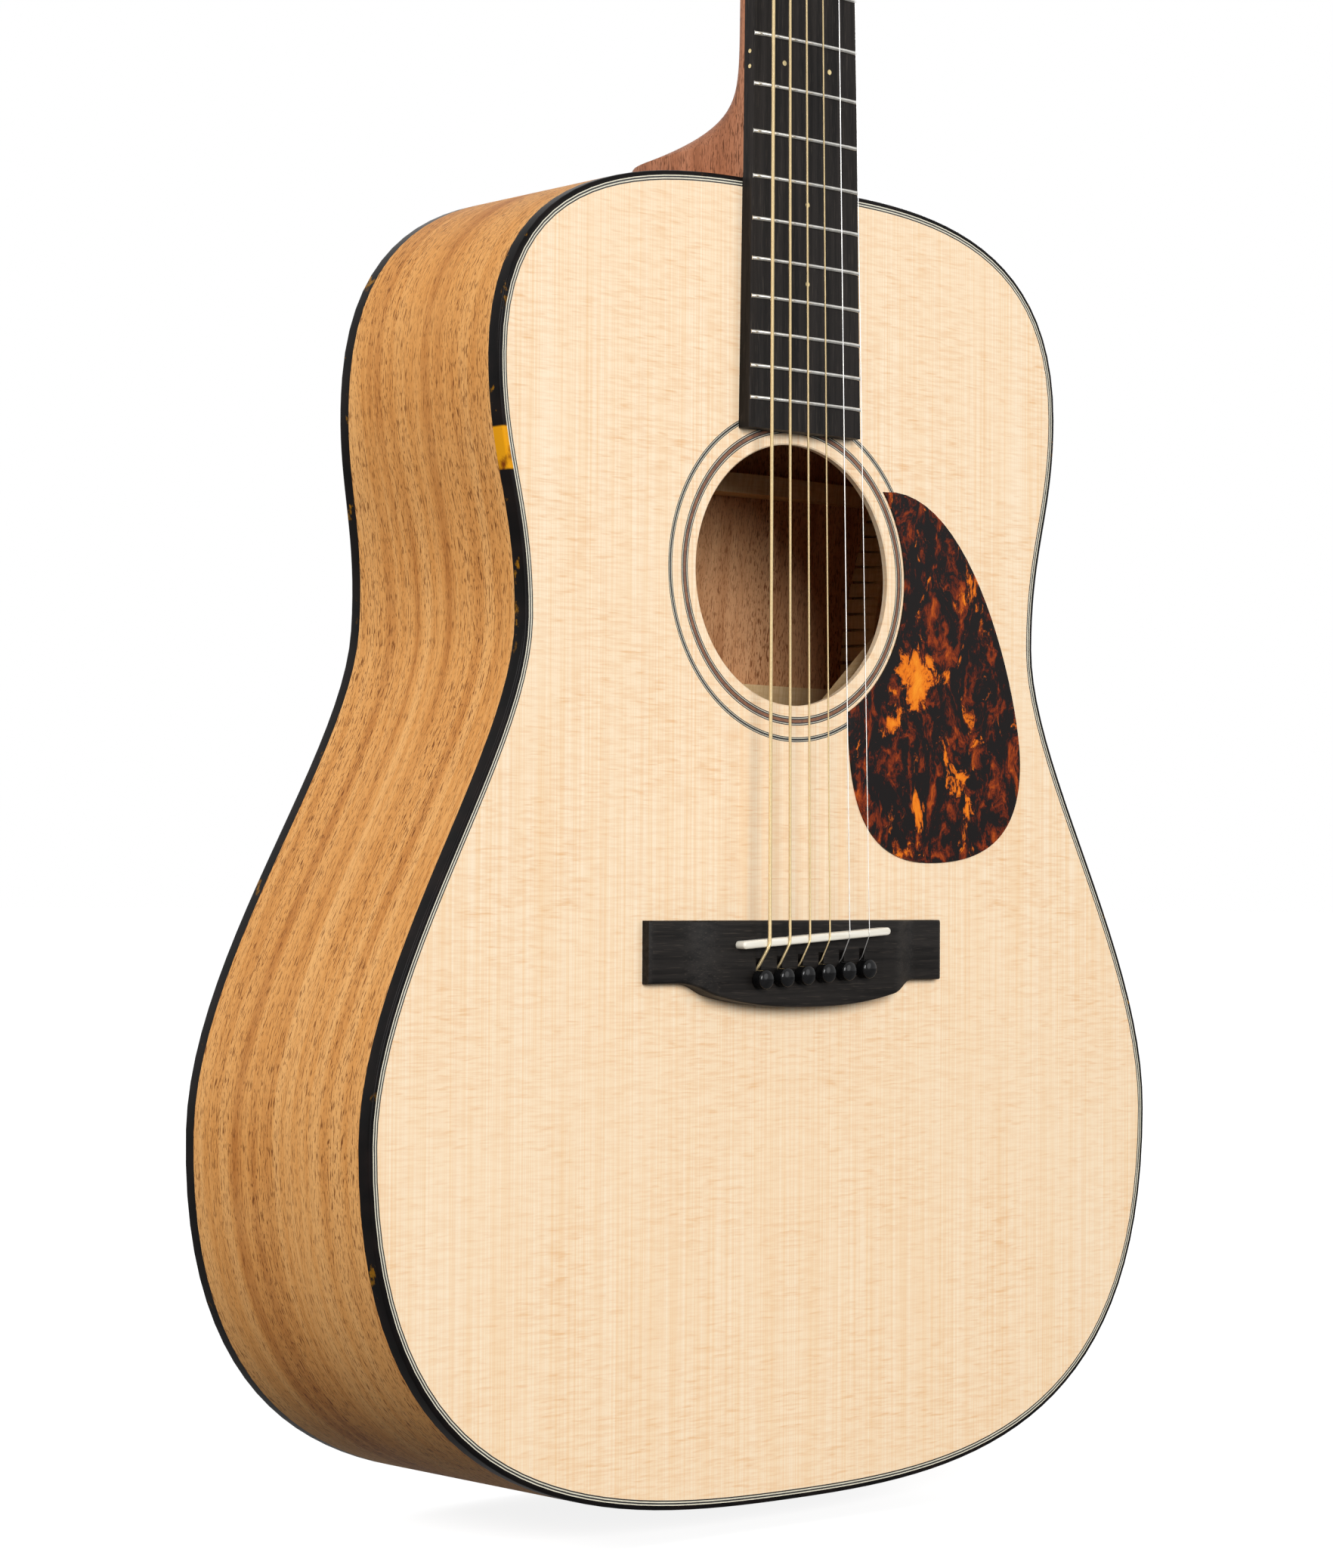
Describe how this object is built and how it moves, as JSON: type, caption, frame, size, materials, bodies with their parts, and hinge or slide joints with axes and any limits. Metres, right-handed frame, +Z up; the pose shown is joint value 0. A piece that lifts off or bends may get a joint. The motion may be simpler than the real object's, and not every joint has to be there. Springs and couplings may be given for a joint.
{
  "type": "acoustic guitar",
  "caption": "Steel-string acoustic guitar: flat-top hollow body with round soundhole, pinned bridge, fretted neck and geared tuners that turn.",
  "frame": {"origin": "middle of the strap button's end face at the tail of the body", "axes": "+Z up along the body and neck, -Y out of the soundboard towards the player's audience, -X the bass side"},
  "size_m": [0.4014, 0.1391, 1.0389],
  "materials": {
    "spruce": "pale satin, fine straight grain",
    "brace_spruce": "bare",
    "mahogany": "satin with open pores",
    "neck_mahogany": "satin",
    "ebony": "oiled",
    "rosette": "flush inlay with black and white lines",
    "tortoise": "dark with amber patches",
    "black_plastic": "gloss",
    "bone": "polished off-white",
    "nickel": "polished",
    "steel": "plain",
    "bronze": "wound wire"
  },
  "bodies": {
    "guitar": {"soundboard": "spruce", "top_lining_bass": "brace_spruce", "top_lining_treble": "brace_spruce", "back_lining_bass": "brace_spruce", "back_lining_treble": "brace_spruce", "x_brace_bass": "brace_spruce", "x_brace_treble": "brace_spruce", "tone_bar_upper": "brace_spruce", "tone_bar_lower": "brace_spruce", "transverse_brace": "brace_spruce", "back_brace_1": "brace_spruce", "back_brace_2": "brace_spruce", "back_brace_3": "brace_spruce", "back_brace_4": "brace_spruce", "back": "mahogany", "side_bass": "mahogany", "side_treble": "mahogany", "neck": "neck_mahogany", "neck_block": "neck_mahogany", "tail_block": "neck_mahogany", "fingerboard": "ebony", "bridge": "ebony", "bridge_plate": "ebony", "headplate": "ebony", "rosette_inner": "rosette", "rosette_outer": "rosette", "top_binding": "tortoise", "back_binding": "tortoise", "pickguard": "tortoise", "strap_button": "black_plastic", "saddle": "bone", "nut": "bone", "tuner_plate_bass": "nickel", "tuner_plate_treble": "nickel", "truss_rod": "steel", "string_1": "steel", "string_2": "steel", "string_3": "bronze", "string_4": "bronze", "string_5": "bronze", "string_6": "bronze"},
    "tuner_post_1": {"tuner_post_1": "nickel"},
    "tuner_post_2": {"tuner_post_2": "nickel"},
    "tuner_post_3": {"tuner_post_3": "nickel"},
    "tuner_post_4": {"tuner_post_4": "nickel"},
    "tuner_post_5": {"tuner_post_5": "nickel"},
    "tuner_post_6": {"tuner_post_6": "nickel"},
    "tuner_knob_1": {"tuner_knob_1": "nickel"},
    "tuner_knob_2": {"tuner_knob_2": "nickel"},
    "tuner_knob_3": {"tuner_knob_3": "nickel"},
    "tuner_knob_4": {"tuner_knob_4": "nickel"},
    "tuner_knob_5": {"tuner_knob_5": "nickel"},
    "tuner_knob_6": {"tuner_knob_6": "nickel"},
    "bridge_pin_1": {"bridge_pin_1": "black_plastic"},
    "bridge_pin_2": {"bridge_pin_2": "black_plastic"},
    "bridge_pin_3": {"bridge_pin_3": "black_plastic"},
    "bridge_pin_4": {"bridge_pin_4": "black_plastic"},
    "bridge_pin_5": {"bridge_pin_5": "black_plastic"},
    "bridge_pin_6": {"bridge_pin_6": "black_plastic"},
    "truss_rod_nut": {"truss_rod_nut": "steel"}
  },
  "joints": [
    {"name": "tuner_post_1_turn", "type": "hinge", "parent": "guitar", "child": "tuner_post_1", "pos_m": [0.0225, -0.04877, 0.91716], "axis": [0, -0.9703, 0.2419], "continuous": true},
    {"name": "tuner_post_2_turn", "type": "hinge", "parent": "guitar", "child": "tuner_post_2", "pos_m": [0.0225, -0.03861, 0.95791], "axis": [0, -0.9703, 0.2419], "continuous": true},
    {"name": "tuner_post_3_turn", "type": "hinge", "parent": "guitar", "child": "tuner_post_3", "pos_m": [0.0225, -0.02844, 0.99867], "axis": [0, -0.9703, 0.2419], "continuous": true},
    {"name": "tuner_post_4_turn", "type": "hinge", "parent": "guitar", "child": "tuner_post_4", "pos_m": [-0.0225, -0.02844, 0.99867], "axis": [0, -0.9703, 0.2419], "continuous": true},
    {"name": "tuner_post_5_turn", "type": "hinge", "parent": "guitar", "child": "tuner_post_5", "pos_m": [-0.0225, -0.03861, 0.95791], "axis": [0, -0.9703, 0.2419], "continuous": true},
    {"name": "tuner_post_6_turn", "type": "hinge", "parent": "guitar", "child": "tuner_post_6", "pos_m": [-0.0225, -0.04877, 0.91716], "axis": [0, -0.9703, 0.2419], "continuous": true},
    {"name": "tuner_knob_1_turn", "type": "hinge", "parent": "guitar", "child": "tuner_knob_1", "pos_m": [0.0225, -0.02751, 0.92015], "axis": [1, 0, 0], "continuous": true},
    {"name": "tuner_knob_2_turn", "type": "hinge", "parent": "guitar", "child": "tuner_knob_2", "pos_m": [0.0225, -0.01735, 0.96091], "axis": [1, 0, 0], "continuous": true},
    {"name": "tuner_knob_3_turn", "type": "hinge", "parent": "guitar", "child": "tuner_knob_3", "pos_m": [0.0225, -0.00719, 1.00166], "axis": [1, 0, 0], "continuous": true},
    {"name": "tuner_knob_4_turn", "type": "hinge", "parent": "guitar", "child": "tuner_knob_4", "pos_m": [-0.0225, -0.00719, 1.00166], "axis": [1, 0, 0], "continuous": true},
    {"name": "tuner_knob_5_turn", "type": "hinge", "parent": "guitar", "child": "tuner_knob_5", "pos_m": [-0.0225, -0.01735, 0.96091], "axis": [1, 0, 0], "continuous": true},
    {"name": "tuner_knob_6_turn", "type": "hinge", "parent": "guitar", "child": "tuner_knob_6", "pos_m": [-0.0225, -0.02751, 0.92015], "axis": [1, 0, 0], "continuous": true},
    {"name": "bridge_pin_1_pull", "type": "slide", "parent": "guitar", "child": "bridge_pin_1", "axis": [0, -1, 0], "range_m": [0, 0.026]},
    {"name": "bridge_pin_2_pull", "type": "slide", "parent": "guitar", "child": "bridge_pin_2", "axis": [0, -1, 0], "range_m": [0, 0.026]},
    {"name": "bridge_pin_3_pull", "type": "slide", "parent": "guitar", "child": "bridge_pin_3", "axis": [0, -1, 0], "range_m": [0, 0.026]},
    {"name": "bridge_pin_4_pull", "type": "slide", "parent": "guitar", "child": "bridge_pin_4", "axis": [0, -1, 0], "range_m": [0, 0.026]},
    {"name": "bridge_pin_5_pull", "type": "slide", "parent": "guitar", "child": "bridge_pin_5", "axis": [0, -1, 0], "range_m": [0, 0.026]},
    {"name": "bridge_pin_6_pull", "type": "slide", "parent": "guitar", "child": "bridge_pin_6", "axis": [0, -1, 0], "range_m": [0, 0.026]},
    {"name": "truss_rod_nut_turn", "type": "hinge", "parent": "guitar", "child": "truss_rod_nut", "pos_m": [0, -0.051, 0.465], "axis": [0, 0, 1], "range_deg": [-180, 180]}
  ],
  "couplings": [
    {"joint": "tuner_post_1_turn", "follows": "tuner_knob_1_turn", "ratio": 0.071429},
    {"joint": "tuner_post_2_turn", "follows": "tuner_knob_2_turn", "ratio": 0.071429},
    {"joint": "tuner_post_3_turn", "follows": "tuner_knob_3_turn", "ratio": 0.071429},
    {"joint": "tuner_post_4_turn", "follows": "tuner_knob_4_turn", "ratio": 0.071429},
    {"joint": "tuner_post_5_turn", "follows": "tuner_knob_5_turn", "ratio": 0.071429},
    {"joint": "tuner_post_6_turn", "follows": "tuner_knob_6_turn", "ratio": 0.071429}
  ]
}
